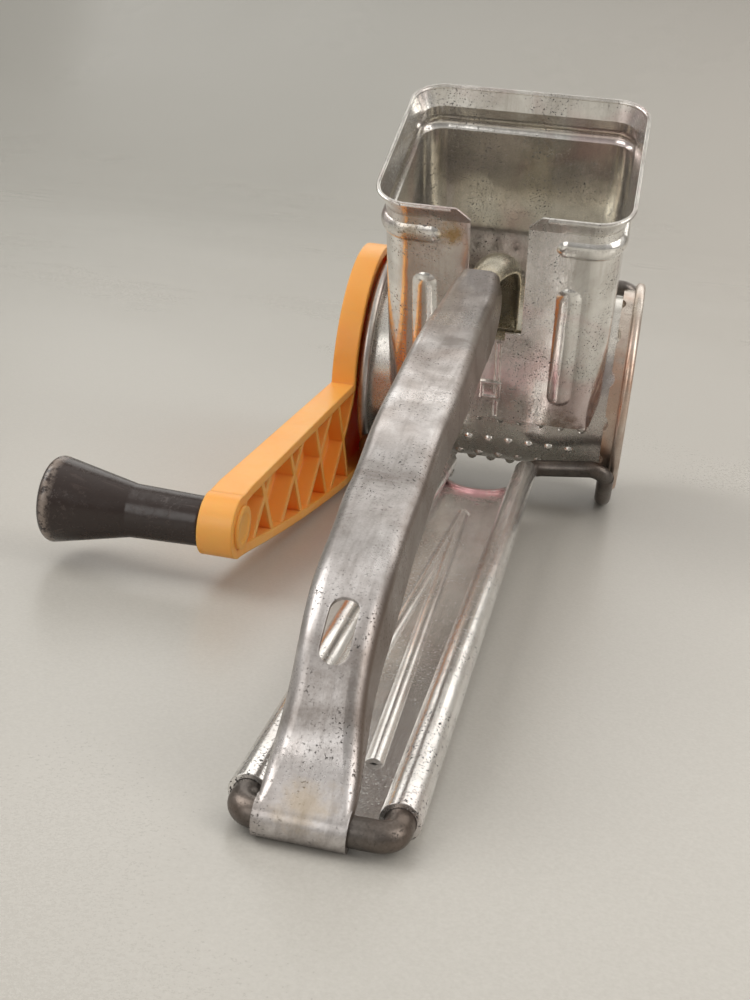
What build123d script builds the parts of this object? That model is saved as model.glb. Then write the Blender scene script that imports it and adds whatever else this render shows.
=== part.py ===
from build123d import *
from math import asin, atan, atan2, cos, degrees, hypot, radians, sin, sqrt, tan
import os

# Hand cranked rotary shredder, millimetres. The origin is the centre of the drum on its
# axis: +X runs to the drum's open mouth, +Y away from the handle, +Z up.
os.makedirs("parts", exist_ok=True)

# Clearances
running_gap = 0.05
moving_gap = 0.3
cradle_gap = 0.4
seat_gap = 0.02

# Sheet and wire stock
wire_radius = 2.0
hopper_sheet = 0.5
handle_sheet = 0.7
presser_sheet = 0.8
drum_sheet = 0.5
rim_sheet = 0.8

# Drum: perforated shell, closed end cap on -X, open mouth on +X
drum_radius = 22.2
bump_radius = 1.35
bump_sink = 0.4
bump_hole_radius = 0.7
bump_pitch = 4.95
bump_rows = 18
bumps_per_row = 10
rim_bead_radius = 1.2
rim_bead_centre = 25.0
rim_x = 31.2
collar_radius = 24.2
collar_start = 27.4
collar_wave_radius = 2.6
collar_wave_depth = 0.9
collar_waves = 14
mouth_ring_step = 22.9
mouth_radius = 21.2

# Hopper, in its own tilted frame: u is its depth, v its height
hopper_tilt = 31.6
hopper_half_width = 25.7
hopper_half_depth = 23.5
hopper_corner = 6.0
hopper_bottom = 5.3
lip_crease = 60.0
rim_height = 64.4
lip_flare = 1.9
bead_height = 56.0
bead_half_height = 2.15
bead_front_end = 12.4
rib_x = 16.0
rib_half_width = 2.75
rib_bottom = 12.0
rib_top = 46.0
pressing_depth = 1.1
slot_half_width = 6.2
slot_bottom = 31.8
slot_corner_width = 3.6
slot_corner_height = 3.4
slot_notch_x = 1.4
slot_notch_width = 2.4
slot_notch_depth = 2.3

# Wire frame: near loop, two legs, outward runs and a cradle round each drum end
leg_left = 9.3
leg_right = 10.4
cradle_x = 29.6
near_loop_y = -186.45
leg_far_y = -18.4
leg_slope = 2.6
near_bend = 2.2
leg_bend = 3.2
cradle_bend = 3.4
cradle_start_angle = -48.0
cradle_spans = 4
wire_end_x = 12.0

# Lower handle plate, along the legs
plate_start = 4.0
plate_end = 164.8
lip_centre = 157.0
lip_base_radius = 8.4
lip_top_radius = 4.6
lip_rise = 3.8
lip_sweep = 128.0
lip_fold = 1.1
web_rib_radius = 1.4
web_rib_rise = 0.9
web_rib_apex = 132.0
web_rib_near = 20.0
web_rib_spread = 3.75
apex_dome_radius = 2.0

# Rear ears that hold the wire's ends on the hopper
ear_width = 7.0
ear_centre_x = 17.0
ear_tab_length = 12.0
rivet_radius = 1.1
rivet_head_radius = 2.0
rivet_head_height = 0.6
ear_rivet_rise = 8.0

# Upper handle
handle_x = -1.05
barrel_half_width = 6.0
handle_shoulder = 2.4
handle_splay = 0.12
hang_hole_length = 9.6
hang_hole_width = 4.0
hang_hole_x = -1.3
hang_hole_reach = 12.2
hang_hole_rise = 20.9
hang_hole_pitch = 42.0

# Presser
presser_half_width = 21.0
presser_front_angle = -50.0
presser_rear_angle = 32.0
neck_half_width = 5.0
foot_reach = 4.2
foot_half_depth = 3.4
foot_angle = -18.0
liner_reach = 122.0
neck_end_pitch = -58.0

# Crank and knob
crank_hub_radius = 28.4
crank_hub_outer_x = -38.3
crank_end_outer_x = -43.0
crank_end_inner_x = -36.2
crank_kink_y = -28.0
crank_end_y = -103.0
crank_end_z = -18.7
crank_end_radius = 6.1
crank_flange = 1.9
crank_web = 1.9
crank_rib = 1.3
crank_boss_radius = 8.0
crank_rib_gap = 0.5
crank_bays = 4
crank_bay_lead = 6.0
rib_top_z = -3.0
rib_low_z = -30.0
centre_rivet_radius = 3.0
centre_rivet_head_radius = 5.0
centre_rivet_head = 1.6
centre_washer_radius = 8.5
washer_thickness = 0.8
knob_length = 31.0
knob_base_radius = 4.8
knob_waist_radius = 5.2
knob_waist_share = 0.46
knob_end_radius = 8.8
knob_end_round = 1.6
pin_radius = 1.8
pin_head_radius = 3.2
pin_head_height = 1.2
pin_head_depth = 2.6

# Shared frames and derived sizes
tilt = radians(hopper_tilt)
hopper_plane = Plane(origin=(0, 0, 0), x_dir=(1, 0, 0), z_dir=(0, -sin(tilt), cos(tilt)))
front_plane = Plane(origin=(0, 0, 0), x_dir=(1, 0, 0), z_dir=(0, -cos(tilt), -sin(tilt)))
side_plane = Plane(origin=(0, 0, 0), x_dir=(0, cos(tilt), sin(tilt)), z_dir=(1, 0, 0))
bump_tip_radius = drum_radius + bump_radius - bump_sink
roll_bore_radius = wire_radius + running_gap
roll_radius = roll_bore_radius + handle_sheet
rim_outer_x = rim_x + rim_bead_radius
cradle_reach = rim_bead_radius + wire_radius + cradle_gap
cradle_radius = rim_bead_centre + sqrt(cradle_reach**2 - (cradle_x - rim_x) ** 2)
floor_z = -(cradle_radius + wire_radius)
leg_rise = tan(radians(leg_slope))
near_loop_z = floor_z + roll_radius
leg_far_z = near_loop_z + (leg_far_y - near_loop_y) * leg_rise
hinge_point = (near_loop_y, near_loop_z)


def pressing(half_width):
    """Radius of a round pressing, and how deep its centre lies under the outer face."""
    radius = (half_width**2 + pressing_depth**2) / (2 * pressing_depth)
    return radius, radius - pressing_depth


# Hopper: four walls with a horizontal bead, two front ribs and a flared lip
def hopper_form(inset):
    bead_radius, bead_depth = pressing(bead_half_height)
    rib_radius, rib_depth = pressing(rib_half_width)
    half_x = hopper_half_width - inset
    half_u = hopper_half_depth - inset
    corner = hopper_corner - inset
    bead_x = hopper_half_width - bead_depth
    bead_u = hopper_half_depth - bead_depth
    bead_end = bead_front_end + bead_half_height
    rib_u = -(hopper_half_depth - rib_depth)
    rib_low = rib_bottom + rib_half_width
    rib_high = rib_top - rib_half_width
    with BuildPart() as form:
        with BuildSketch(hopper_plane.offset(hopper_bottom)):
            RectangleRounded(2 * half_x, 2 * half_u, corner)
        extrude(amount=lip_crease - hopper_bottom)
        with BuildSketch(hopper_plane.offset(lip_crease)):
            RectangleRounded(2 * half_x, 2 * half_u, corner)
        with BuildSketch(hopper_plane.offset(rim_height)):
            RectangleRounded(2 * (half_x + lip_flare), 2 * (half_u + lip_flare), corner + lip_flare)
        loft()
        with BuildLine(hopper_plane.offset(bead_height)) as bead_path:
            FilletPolyline(
                (-bead_end, -bead_u),
                (-bead_x, -bead_u),
                (-bead_x, bead_u),
                (bead_x, bead_u),
                (bead_x, -bead_u),
                (bead_end, -bead_u),
                radius=hopper_corner - bead_depth,
            )
        with BuildSketch(Plane(origin=bead_path.line @ 0, z_dir=bead_path.line % 0)):
            Circle(bead_radius - inset)
        sweep(path=bead_path.line)
        with BuildSketch(hopper_plane.offset(rib_low)):
            with Locations((-rib_x, rib_u), (rib_x, rib_u)):
                Circle(rib_radius - inset)
        extrude(amount=rib_high - rib_low)
        with Locations(hopper_plane):
            with Locations((-bead_end, -bead_u, bead_height), (bead_end, -bead_u, bead_height)):
                Sphere(bead_radius - inset)
            with GridLocations(2 * rib_x, 1, 2, 1):
                with Locations((0, rib_u, rib_low), (0, rib_u, rib_high)):
                    Sphere(rib_radius - inset)
    return form.part


# Places of the wire's rear ends: they lie across the hopper's back wall inside the ears
wire_end_u = hopper_half_depth + handle_sheet + running_gap + wire_radius
wire_end_reach = hypot(cradle_radius, cradle_bend)
wire_end_v = sqrt(wire_end_reach**2 - wire_end_u**2)
ear_rivet_v = wire_end_v + ear_rivet_rise
ear_places = {"left": -ear_centre_x, "right": ear_centre_x}

hopper_outside = hopper_form(0.0)
hopper_inside = hopper_form(hopper_sheet)
with BuildPart() as hopper_shell:
    add(hopper_outside)
    add(hopper_inside, mode=Mode.SUBTRACT)
    # arches that ride on the plain ends of the drum
    with BuildSketch(Plane.YZ.offset(-2 * hopper_half_width)):
        Circle(drum_radius + moving_gap)
    extrude(amount=4 * hopper_half_width, mode=Mode.SUBTRACT)
    # front slot for the presser's neck, with its small notch
    with BuildSketch(front_plane.offset(hopper_half_depth / 2)):
        with BuildLine():
            Polyline(
                (-slot_half_width, slot_bottom),
                (slot_half_width, slot_bottom),
                (slot_half_width, rim_height - slot_corner_height),
                (slot_half_width + slot_corner_width, rim_height + 1),
                (-slot_half_width - slot_corner_width, rim_height + 1),
                (-slot_half_width, rim_height - slot_corner_height),
                close=True,
            )
        make_face()
        with Locations((slot_notch_x, slot_bottom - slot_notch_depth / 2)):
            Rectangle(slot_notch_width, slot_notch_depth + seat_gap)
    extrude(amount=hopper_half_depth, mode=Mode.SUBTRACT)
    # rivet holes in the back wall
    with BuildSketch(front_plane.offset(-hopper_half_depth / 2)):
        with Locations((-ear_centre_x, ear_rivet_v), (ear_centre_x, ear_rivet_v)):
            Circle(rivet_radius + seat_gap)
    extrude(amount=-hopper_half_depth, mode=Mode.SUBTRACT)
hopper_shell.part.label = "hopper_shell"
export_step(hopper_shell.part, "parts/hopper_shell.step")


# Rear ears: a curl round each wire end with a tab riveted to the back wall
for side, place in ear_places.items():
    with BuildPart() as rear_ear:
        with BuildSketch(side_plane.offset(place - ear_width / 2)):
            with Locations((wire_end_u, wire_end_v)):
                Circle(roll_radius)
            tab_middle = hopper_half_depth + handle_sheet / 2
            with Locations((tab_middle, wire_end_v + ear_tab_length / 2)):
                Rectangle(handle_sheet, ear_tab_length)
            with Locations((wire_end_u, wire_end_v)):
                Circle(roll_bore_radius, mode=Mode.SUBTRACT)
        extrude(amount=ear_width)
        with BuildSketch(front_plane.offset(-hopper_half_depth)):
            with Locations((place, ear_rivet_v)):
                Circle(rivet_radius + seat_gap)
        extrude(amount=-2 * handle_sheet, mode=Mode.SUBTRACT)
    rear_ear.part.label = "rear_ear_" + side
    export_step(rear_ear.part, "parts/rear_ear_" + side + ".step")

    with BuildPart() as ear_rivet:
        shank_start = hopper_half_depth - hopper_sheet - rivet_head_height
        shank_length = hopper_sheet + handle_sheet + 2 * rivet_head_height
        with BuildSketch(front_plane.offset(-shank_start)):
            with Locations((place, ear_rivet_v)):
                Circle(rivet_radius)
        extrude(amount=-shank_length)
        for head_start in (shank_start, shank_start + shank_length - rivet_head_height):
            with BuildSketch(front_plane.offset(-head_start)):
                with Locations((place, ear_rivet_v)):
                    Circle(rivet_head_radius)
            extrude(amount=-rivet_head_height)
    ear_rivet.part.label = "ear_rivet_" + side
    export_step(ear_rivet.part, "parts/ear_rivet_" + side + ".step")


# Wire frame: one bent rod, built as a half for each side of the drum
def cradle_point(angle, reach=cradle_radius):
    """A point of the cradle, its angle counted from straight down towards the back."""
    return (cradle_x, reach * sin(radians(angle)), -reach * cos(radians(angle)))


bend_turn = degrees(atan(cradle_bend / cradle_radius))
wire_end_angle = 90 + hopper_tilt + degrees(atan2(wire_end_v, wire_end_u))
cradle_end_angle = wire_end_angle - bend_turn
cradle_step = (cradle_end_angle - cradle_start_angle) / cradle_spans
cradle_corner_reach = cradle_radius / cos(radians(cradle_step / 2))
cradle_corners = [
    cradle_point(cradle_start_angle + (span + 0.5) * cradle_step, cradle_corner_reach)
    for span in range(cradle_spans)
]
cradle_fillet = 0.995 * cradle_radius
wire_rear = cradle_point(wire_end_angle, wire_end_reach)

with BuildPart() as wire_frame:
    for side, leg_place in ((-1, leg_left), (1, leg_right)):
        corners = [
            (0, near_loop_y, near_loop_z),
            (leg_place, near_loop_y, near_loop_z),
            (leg_place, leg_far_y, leg_far_z),
            cradle_point(cradle_start_angle - bend_turn, wire_end_reach),
            *cradle_corners,
            wire_rear,
            (wire_end_x, wire_rear[1], wire_rear[2]),
        ]
        with BuildLine() as wire_path:
            FilletPolyline(
                *[(side * x, y, z) for x, y, z in corners],
                radius=[near_bend, leg_bend, cradle_bend]
                + [cradle_fillet] * cradle_spans
                + [cradle_bend - running_gap],
            )
        with BuildSketch(Plane(origin=wire_path.line @ 0, z_dir=wire_path.line % 0)):
            Circle(wire_radius)
        sweep(path=wire_path.line)
wire_frame.part.label = "wire_frame"
export_step(wire_frame.part, "parts/wire_frame.step")


# Lower handle plate: a flat web rolled round both legs, with a V of raised ribs
slope = radians(leg_slope)
legs_plane = Plane(
    origin=(0, near_loop_y, near_loop_z), x_dir=(1, 0, 0), z_dir=(0, cos(slope), sin(slope))
)
web_top = handle_sheet - roll_radius
web_plane = Plane(
    origin=(0, near_loop_y, near_loop_z), x_dir=(1, 0, 0), z_dir=(0, -sin(slope), cos(slope))
)
rib_sink = web_rib_radius - web_rib_rise
web_middle = (leg_right - leg_left) / 2
web_width = leg_left + leg_right - 2 * roll_radius

with BuildPart() as lower_handle_plate:
    with BuildSketch(legs_plane.offset(plate_start)):
        with Locations((web_middle, roll_radius - handle_sheet / 2)):
            Rectangle(leg_left + leg_right, handle_sheet)
        with Locations((-leg_left, 0), (leg_right, 0)):
            Circle(roll_radius)
    extrude(amount=plate_end - plate_start)
    # raised ribs of the V, and the dome where they meet
    for side in (-1, 1):
        with BuildLine(web_plane.offset(web_top - rib_sink)) as rib_line:
            Line((0, web_rib_apex), (side * web_rib_spread, web_rib_near))
        with BuildSketch(Plane(origin=rib_line.line @ 0, z_dir=rib_line.line % 0)):
            Circle(web_rib_radius)
        sweep(path=rib_line.line)
    with Locations(web_plane):
        with Locations((0, web_rib_apex, web_top - apex_dome_radius / 2)):
            Sphere(apex_dome_radius)
    # the underside is trimmed flat between the rolls, and the ribs are hollow below
    with BuildSketch(web_plane.offset(-roll_radius)):
        with Locations((web_middle, plate_end / 2)):
            Rectangle(web_width, 2 * plate_end)
    extrude(amount=-2 * roll_radius, mode=Mode.SUBTRACT)
    for side in (-1, 1):
        with BuildLine(web_plane.offset(web_top - rib_sink)) as groove_line:
            Line((0, web_rib_apex), (side * web_rib_spread, web_rib_near))
        with BuildSketch(Plane(origin=groove_line.line @ 0, z_dir=groove_line.line % 0)):
            Circle(web_rib_radius - handle_sheet)
        sweep(path=groove_line.line, mode=Mode.SUBTRACT)
    # far end: the web stops at a round fold and turns up in a short lip
    with BuildSketch(web_plane.offset(web_top + web_rib_rise)):
        with Locations((0, lip_centre)):
            Circle(lip_base_radius - handle_sheet / 2)
        with Locations((web_middle, plate_end)):
            Rectangle(web_width + handle_sheet, 2 * (plate_end - lip_centre))
    extrude(amount=-2 * roll_radius, mode=Mode.SUBTRACT)
    lip_axis = Axis(web_plane.from_local_coords((0, lip_centre, 0)), web_plane.z_dir)
    lip_angle = radians(90 + lip_sweep / 2)
    lip_start = Plane(
        origin=web_plane.from_local_coords((0, lip_centre, web_top)),
        x_dir=web_plane.x_dir * cos(lip_angle) - web_plane.y_dir * sin(lip_angle),
        z_dir=web_plane.x_dir * sin(lip_angle) + web_plane.y_dir * cos(lip_angle),
    )
    with BuildSketch(lip_start):
        with BuildLine():
            Polyline(
                (lip_base_radius, -handle_sheet),
                (lip_base_radius, 0),
                (lip_top_radius, lip_rise),
                (lip_top_radius - handle_sheet, lip_rise),
                (lip_base_radius - lip_fold, -handle_sheet),
                close=True,
            )
        make_face()
    revolve(axis=lip_axis, revolution_arc=lip_sweep)
    with BuildSketch(legs_plane.offset(plate_start)):
        with Locations((-leg_left, 0), (leg_right, 0)):
            Circle(roll_bore_radius)
    extrude(amount=plate_end - plate_start, mode=Mode.SUBTRACT)
lower_handle_plate.part.label = "lower_handle_plate"
export_step(lower_handle_plate.part, "parts/lower_handle_plate.step")


# Drum shell: a thin tube with staggered rows of domes, each with a cutting hole beside it
shell_start = -(rim_x - rim_sheet / 2)
shell_length = 2 * rim_x - rim_sheet
row_step = 360 / bump_rows
dome_reach = drum_radius - bump_sink
dome_places = []
hole_places = []
for row in range(bump_rows):
    angle = row * row_step
    stagger = (row % 2) / 2
    for place in range(bumps_per_row - row % 2):
        along = (place + stagger - (bumps_per_row - 1) / 2) * bump_pitch
        turn = radians(angle)
        dome_places.append((along, dome_reach * cos(turn), dome_reach * sin(turn)))
        hole_places.append((along, angle))

with BuildPart() as drum_shell:
    with BuildSketch(Plane.YZ.offset(shell_start)):
        Circle(drum_radius)
    extrude(amount=shell_length)
    with Locations(*dome_places):
        Sphere(bump_radius)
    with BuildSketch(Plane.YZ.offset(shell_start)):
        Circle(drum_radius - drum_sheet)
    extrude(amount=shell_length, mode=Mode.SUBTRACT)
    hole_turn = degrees(asin((bump_radius + bump_hole_radius) / 2 / drum_radius))
    with Locations(
        *[
            Location((along, 0, 0), (angle + hole_turn, 0, 0)) * Location((0, drum_radius, 0), (90, 0, 0))
            for along, angle in hole_places
        ]
    ):
        Cylinder(bump_hole_radius, 4 * bump_radius, mode=Mode.SUBTRACT)
drum_shell.part.label = "drum_shell"
export_step(drum_shell.part, "parts/drum_shell.step")


# End cap: a disc with a rolled rim that closes the drum beside the crank
with BuildPart() as drum_end_cap:
    with BuildSketch(Plane.YZ.offset(-rim_x - rim_sheet / 2)):
        Circle(rim_bead_centre)
    extrude(amount=rim_sheet)
    with BuildSketch(Plane.XY):
        with Locations((-rim_x, rim_bead_centre)):
            Circle(rim_bead_radius)
    revolve(axis=Axis.X)
    with BuildSketch(Plane.YZ.offset(-rim_x - rim_sheet)):
        Circle(centre_rivet_radius + seat_gap)
    extrude(amount=2 * rim_sheet, mode=Mode.SUBTRACT)
drum_end_cap.part.label = "drum_end_cap"
export_step(drum_end_cap.part, "parts/drum_end_cap.step")


# Mouth ring: the open end's flange with a rolled rim, a stepped face and a scalloped collar
wave_step = 360 / collar_waves
with BuildPart() as drum_mouth_ring:
    with BuildSketch(Plane.YZ.offset(rim_x - rim_sheet / 2)):
        Circle(rim_bead_centre)
        Circle(mouth_radius, mode=Mode.SUBTRACT)
    extrude(amount=rim_sheet)
    with BuildSketch(Plane.XY):
        with Locations((rim_x, rim_bead_centre)):
            Circle(rim_bead_radius)
    revolve(axis=Axis.X)
    with BuildSketch(Plane.YZ.offset(rim_x)):
        Circle(mouth_ring_step)
        Circle(mouth_radius, mode=Mode.SUBTRACT)
    extrude(amount=rim_bead_radius)
    with BuildSketch(Plane.YZ.offset(collar_start)):
        Circle(collar_radius)
        Circle(drum_radius + seat_gap, mode=Mode.SUBTRACT)
    extrude(amount=rim_x - collar_start)
    wave_x = collar_start - collar_wave_radius + collar_wave_depth
    with Locations(
        *[Location((wave_x, 0, 0), (wave * wave_step, 0, 0)) for wave in range(collar_waves)]
    ):
        with Locations((0, 0, collar_radius)):
            Cylinder(collar_wave_radius, 4 * rim_bead_radius, mode=Mode.SUBTRACT)
drum_mouth_ring.part.label = "drum_mouth_ring"
export_step(drum_mouth_ring.part, "parts/drum_mouth_ring.step")


# Crank: hub disc, tapering arm and end boss in one moulding, open and ribbed towards the drum
crank_inner_x = -(rim_outer_x + moving_gap)
top_edge_hub = (-27.8, -3.2)
top_edge_end = (-102.0, -12.65)
low_edge_middle = (-51.5, -28.4)
low_edge_end = (-102.4, -24.78)
hub_bottom = (0, seat_gap - crank_hub_radius)


def crank_outline(inset):
    """The crank seen along its axis, drawn in from its edge by the inset."""
    with BuildSketch(Plane.YZ) as outline:
        Circle(crank_hub_radius)
        with Locations((crank_end_y, crank_end_z)):
            Circle(crank_end_radius)
        with BuildLine():
            Line(top_edge_hub, top_edge_end)
            Line(top_edge_end, low_edge_end)
            ThreePointArc(low_edge_end, low_edge_middle, hub_bottom)
            Line(hub_bottom, top_edge_hub)
        make_face()
        if inset > 0:
            offset(amount=-inset, kind=Kind.INTERSECTION, mode=Mode.REPLACE)
    return outline.sketch


def crank_slab(outer_inset):
    """The crank's thickness seen from above, kinked outwards where the arm leaves the hub."""
    with BuildPart() as slab:
        with BuildSketch(Plane.XY.offset(-2 * crank_hub_radius)):
            with BuildLine():
                Polyline(
                    (crank_inner_x, 2 * crank_hub_radius),
                    (crank_inner_x, crank_kink_y),
                    (crank_end_inner_x, crank_end_y + crank_end_radius),
                    (crank_end_inner_x, crank_end_y - 2 * crank_end_radius),
                    (crank_end_outer_x + outer_inset, crank_end_y - 2 * crank_end_radius),
                    (crank_end_outer_x + outer_inset, crank_end_y + crank_end_radius),
                    (crank_hub_outer_x + outer_inset, crank_kink_y),
                    (crank_hub_outer_x + outer_inset, 2 * crank_hub_radius),
                    close=True,
                )
            make_face()
        extrude(amount=4 * crank_hub_radius)
    return slab.part


pocket_slab = crank_slab(crank_web)
blank_slab = crank_slab(0.0)
pocket_outline = crank_outline(crank_flange)
crank_face = crank_outline(0.0)
bay_start = crank_kink_y + crank_bay_lead
bay_length = (crank_end_y + crank_end_radius - bay_start) / crank_bays
hub_boss_start = -(rim_x + rim_sheet / 2)
pin_boss_start = crank_end_inner_x - crank_rib_gap
pin_boss_radius = pin_radius + crank_web

with BuildPart() as crank_pocket:
    extrude(pocket_outline, amount=2 * crank_hub_radius, dir=(-1, 0, 0))
    add(pocket_slab, mode=Mode.INTERSECT)

with BuildPart() as crank_ribs:
    with BuildSketch(Plane.YZ):
        for bay in range(crank_bays):
            near = bay_start + bay * bay_length
            far = near + bay_length
            for start, end in (((near, rib_top_z), (far, rib_low_z)), ((near, rib_low_z), (far, rib_top_z))):
                run = Vector(*end) - Vector(*start)
                middle = (Vector(*end) + Vector(*start)) / 2
                with Locations(Location((middle.X, middle.Y, 0), (0, 0, degrees(atan2(run.Y, run.X))))):
                    Rectangle(run.length, crank_rib)
    extrude(amount=-2 * crank_hub_radius)
    add(crank_pocket.part.moved(Location((-crank_rib_gap, 0, 0))), mode=Mode.INTERSECT)

with BuildPart() as crank_arm:
    extrude(crank_face, amount=2 * crank_hub_radius, dir=(-1, 0, 0))
    add(blank_slab, mode=Mode.INTERSECT)
    add(crank_pocket.part, mode=Mode.SUBTRACT)
    add(crank_ribs.part)
    with BuildSketch(Plane.YZ.offset(hub_boss_start)):
        Circle(crank_boss_radius)
    extrude(amount=crank_hub_outer_x - hub_boss_start)
    with BuildSketch(Plane.YZ.offset(pin_boss_start)):
        with Locations((crank_end_y, crank_end_z)):
            Circle(pin_boss_radius)
    extrude(amount=crank_end_outer_x - pin_boss_start)
    with BuildSketch(Plane.YZ):
        Circle(centre_rivet_radius + seat_gap)
        with Locations((crank_end_y, crank_end_z)):
            Circle(pin_radius + seat_gap)
    extrude(amount=-2 * crank_hub_radius, mode=Mode.SUBTRACT)
crank_arm.part.label = "crank_arm"
export_step(crank_arm.part, "parts/crank_arm.step")

# Centre washer and rivet that hold the crank to the drum's end cap
washer_outer_x = crank_hub_outer_x - washer_thickness
with BuildPart() as crank_washer:
    with BuildSketch(Plane.YZ.offset(crank_hub_outer_x)):
        Circle(centre_washer_radius)
        Circle(centre_rivet_radius + seat_gap, mode=Mode.SUBTRACT)
    extrude(amount=-washer_thickness)
crank_washer.part.label = "crank_washer"
export_step(crank_washer.part, "parts/crank_washer.step")

cap_inner_x = -(rim_x - rim_sheet / 2)
with BuildPart() as crank_rivet:
    with BuildSketch(Plane.YZ.offset(cap_inner_x)):
        Circle(centre_rivet_radius)
    extrude(amount=washer_outer_x - cap_inner_x)
    with BuildSketch(Plane.YZ.offset(cap_inner_x)):
        Circle(centre_rivet_head_radius)
    extrude(amount=centre_rivet_head)
    with BuildSketch(Plane.YZ.offset(washer_outer_x)):
        Circle(centre_rivet_head_radius)
    extrude(amount=-centre_rivet_head)
    fillet(crank_rivet.faces().sort_by(Axis.X)[0].edges(), radius=centre_rivet_head / 2)
crank_rivet.part.label = "crank_rivet"
export_step(crank_rivet.part, "parts/crank_rivet.step")


# Knob: turns on a pin riveted into the crank's end, flared at its free end
knob_start = crank_end_outer_x - moving_gap
knob_end = knob_start - knob_length
knob_waist_x = knob_start - knob_waist_share * knob_length
knob_plane = Plane(origin=(0, crank_end_y, crank_end_z), x_dir=(1, 0, 0), z_dir=(0, 0, 1))
knob_axis = Axis((0, crank_end_y, crank_end_z), (1, 0, 0))
recess_floor = knob_end + pin_head_depth
washer_start = recess_floor - moving_gap
head_start = washer_start - washer_thickness

with BuildPart() as knob:
    with BuildSketch(knob_plane):
        with BuildLine():
            Polyline(
                (knob_start, 0),
                (knob_start, knob_base_radius),
                (knob_waist_x, knob_waist_radius),
                (knob_end, knob_end_radius),
                (knob_end, 0),
                close=True,
            )
        make_face()
    revolve(axis=knob_axis)
    rings = knob.edges().filter_by(GeomType.CIRCLE).sort_by(Axis.X)
    fillet(rings[0], radius=knob_end_round)
    fillet(knob.edges().filter_by(GeomType.CIRCLE).sort_by(Axis.X)[-1], radius=knob_end_round / 3)
    with BuildSketch(Plane.YZ.offset(knob_start + 1)):
        with Locations((crank_end_y, crank_end_z)):
            Circle(pin_radius + running_gap)
    extrude(amount=-2 * knob_length, mode=Mode.SUBTRACT)
    with BuildSketch(Plane.YZ.offset(recess_floor)):
        with Locations((crank_end_y, crank_end_z)):
            Circle(pin_head_radius + moving_gap)
    extrude(amount=-2 * pin_head_depth, mode=Mode.SUBTRACT)
knob.part.label = "knob"
export_step(knob.part, "parts/knob.step")

with BuildPart() as knob_washer:
    with BuildSketch(Plane.YZ.offset(washer_start)):
        with Locations((crank_end_y, crank_end_z)):
            Circle(pin_head_radius)
            Circle(pin_radius + seat_gap, mode=Mode.SUBTRACT)
    extrude(amount=-washer_thickness)
knob_washer.part.label = "knob_washer"
export_step(knob_washer.part, "parts/knob_washer.step")

with BuildPart() as knob_pin:
    with BuildSketch(Plane.YZ.offset(pin_boss_start)):
        with Locations((crank_end_y, crank_end_z)):
            Circle(pin_radius)
    extrude(amount=head_start - pin_boss_start)
    with BuildSketch(Plane.YZ.offset(head_start)):
        with Locations((crank_end_y, crank_end_z)):
            Circle(pin_head_radius)
    extrude(amount=-pin_head_height)
    with BuildSketch(Plane.YZ.offset(pin_boss_start)):
        with Locations((crank_end_y, crank_end_z)):
            Circle(pin_boss_radius - crank_rib_gap)
    extrude(amount=crank_rib_gap)
knob_pin.part.label = "knob_pin"
export_step(knob_pin.part, "parts/knob_pin.step")


# Upper handle: an inverted channel lofted along its arch, with a barrel on the near loop
def channel_sketch(station, pitch, inset):
    """One cross-section of a channel, square to its path; the inset makes the inside."""
    y, z, x, half_width, depth = station
    plane = Plane(origin=(x, y, z), x_dir=(1, 0, 0), z_dir=(0, cos(pitch), sin(pitch)))
    half = half_width - inset
    foot = depth + 2 * inset
    shoulder = min(handle_shoulder, 0.8 * depth)
    corner = max(shoulder - inset, seat_gap)
    level = inset + corner
    foot_half = half + handle_splay * (foot - level)
    diagonal = corner * (1 - sqrt(0.5))
    with BuildSketch(plane) as section:
        with BuildLine():
            Line((-foot_half, foot), (-half, level))
            ThreePointArc((-half, level), (-half + diagonal, inset + diagonal), (-half + corner, inset))
            Line((-half + corner, inset), (half - corner, inset))
            ThreePointArc((half - corner, inset), (half - diagonal, inset + diagonal), (half, level))
            Line((half, level), (foot_half, foot))
            Line((foot_half, foot), (-foot_half, foot))
        make_face()
    return section.sketch


def path_pitches(points, first, last):
    """The path's slope at each station, from its neighbours; the two ends are given."""
    slopes = [radians(first)]
    for before, after in zip(points[:-2], points[2:]):
        slopes.append(atan2(after[1] - before[1], after[0] - before[0]))
    slopes.append(radians(last))
    return slopes


def channel_form(points, slopes, inset, ruled=False):
    """A channel as a solid bar, drawn in by the inset and open below it."""
    with BuildPart() as form:
        for point, pitch in zip(points, slopes):
            add(channel_sketch(point, pitch, inset))
        loft(ruled=ruled)
    return form.part


# each station: distance from the hinge and height above it, sideways place, half-width, flange
barrel_lead = roll_radius * sqrt(0.5)
handle_stations = [
    (-barrel_lead, barrel_lead, handle_x, barrel_half_width, 0.9),
    (3.0, 6.2, -1.15, 6.0, 2.6),
    (5.8, 11.2, -1.3, 5.4, 4.6),
    (9.4, 17.6, -1.4, 5.1, 6.6),
    (14.6, 22.8, -1.6, 5.3, 7.6),
    (22.0, 27.0, -1.8, 5.5, 7.8),
    (32.0, 30.2, -2.1, 5.6, 7.0),
    (44.0, 33.6, -2.4, 5.8, 6.4),
    (58.0, 38.1, -2.8, 6.0, 6.5),
    (75.0, 41.5, -3.2, 6.3, 7.0),
    (94.0, 45.6, -3.7, 6.2, 8.4),
    (113.0, 49.1, -4.1, 5.9, 9.4),
    (124.0, 51.0, -4.1, 5.7, 9.4),
    (130.0, 53.4, -3.7, 5.3, 8.6),
    (134.2, 57.0, -3.0, 4.2, 7.5),
]
handle_tip_pitch = 45.0
handle_points = [
    (near_loop_y + reach, near_loop_z + rise, x, half_width, depth)
    for reach, rise, x, half_width, depth in handle_stations
]
handle_pitches = path_pitches(handle_points, 45.0, handle_tip_pitch)
channel_outside = channel_form(handle_points, handle_pitches, 0.0)
channel_inside = channel_form(handle_points, handle_pitches, handle_sheet)
hole_pitch = radians(hang_hole_pitch)
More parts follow.
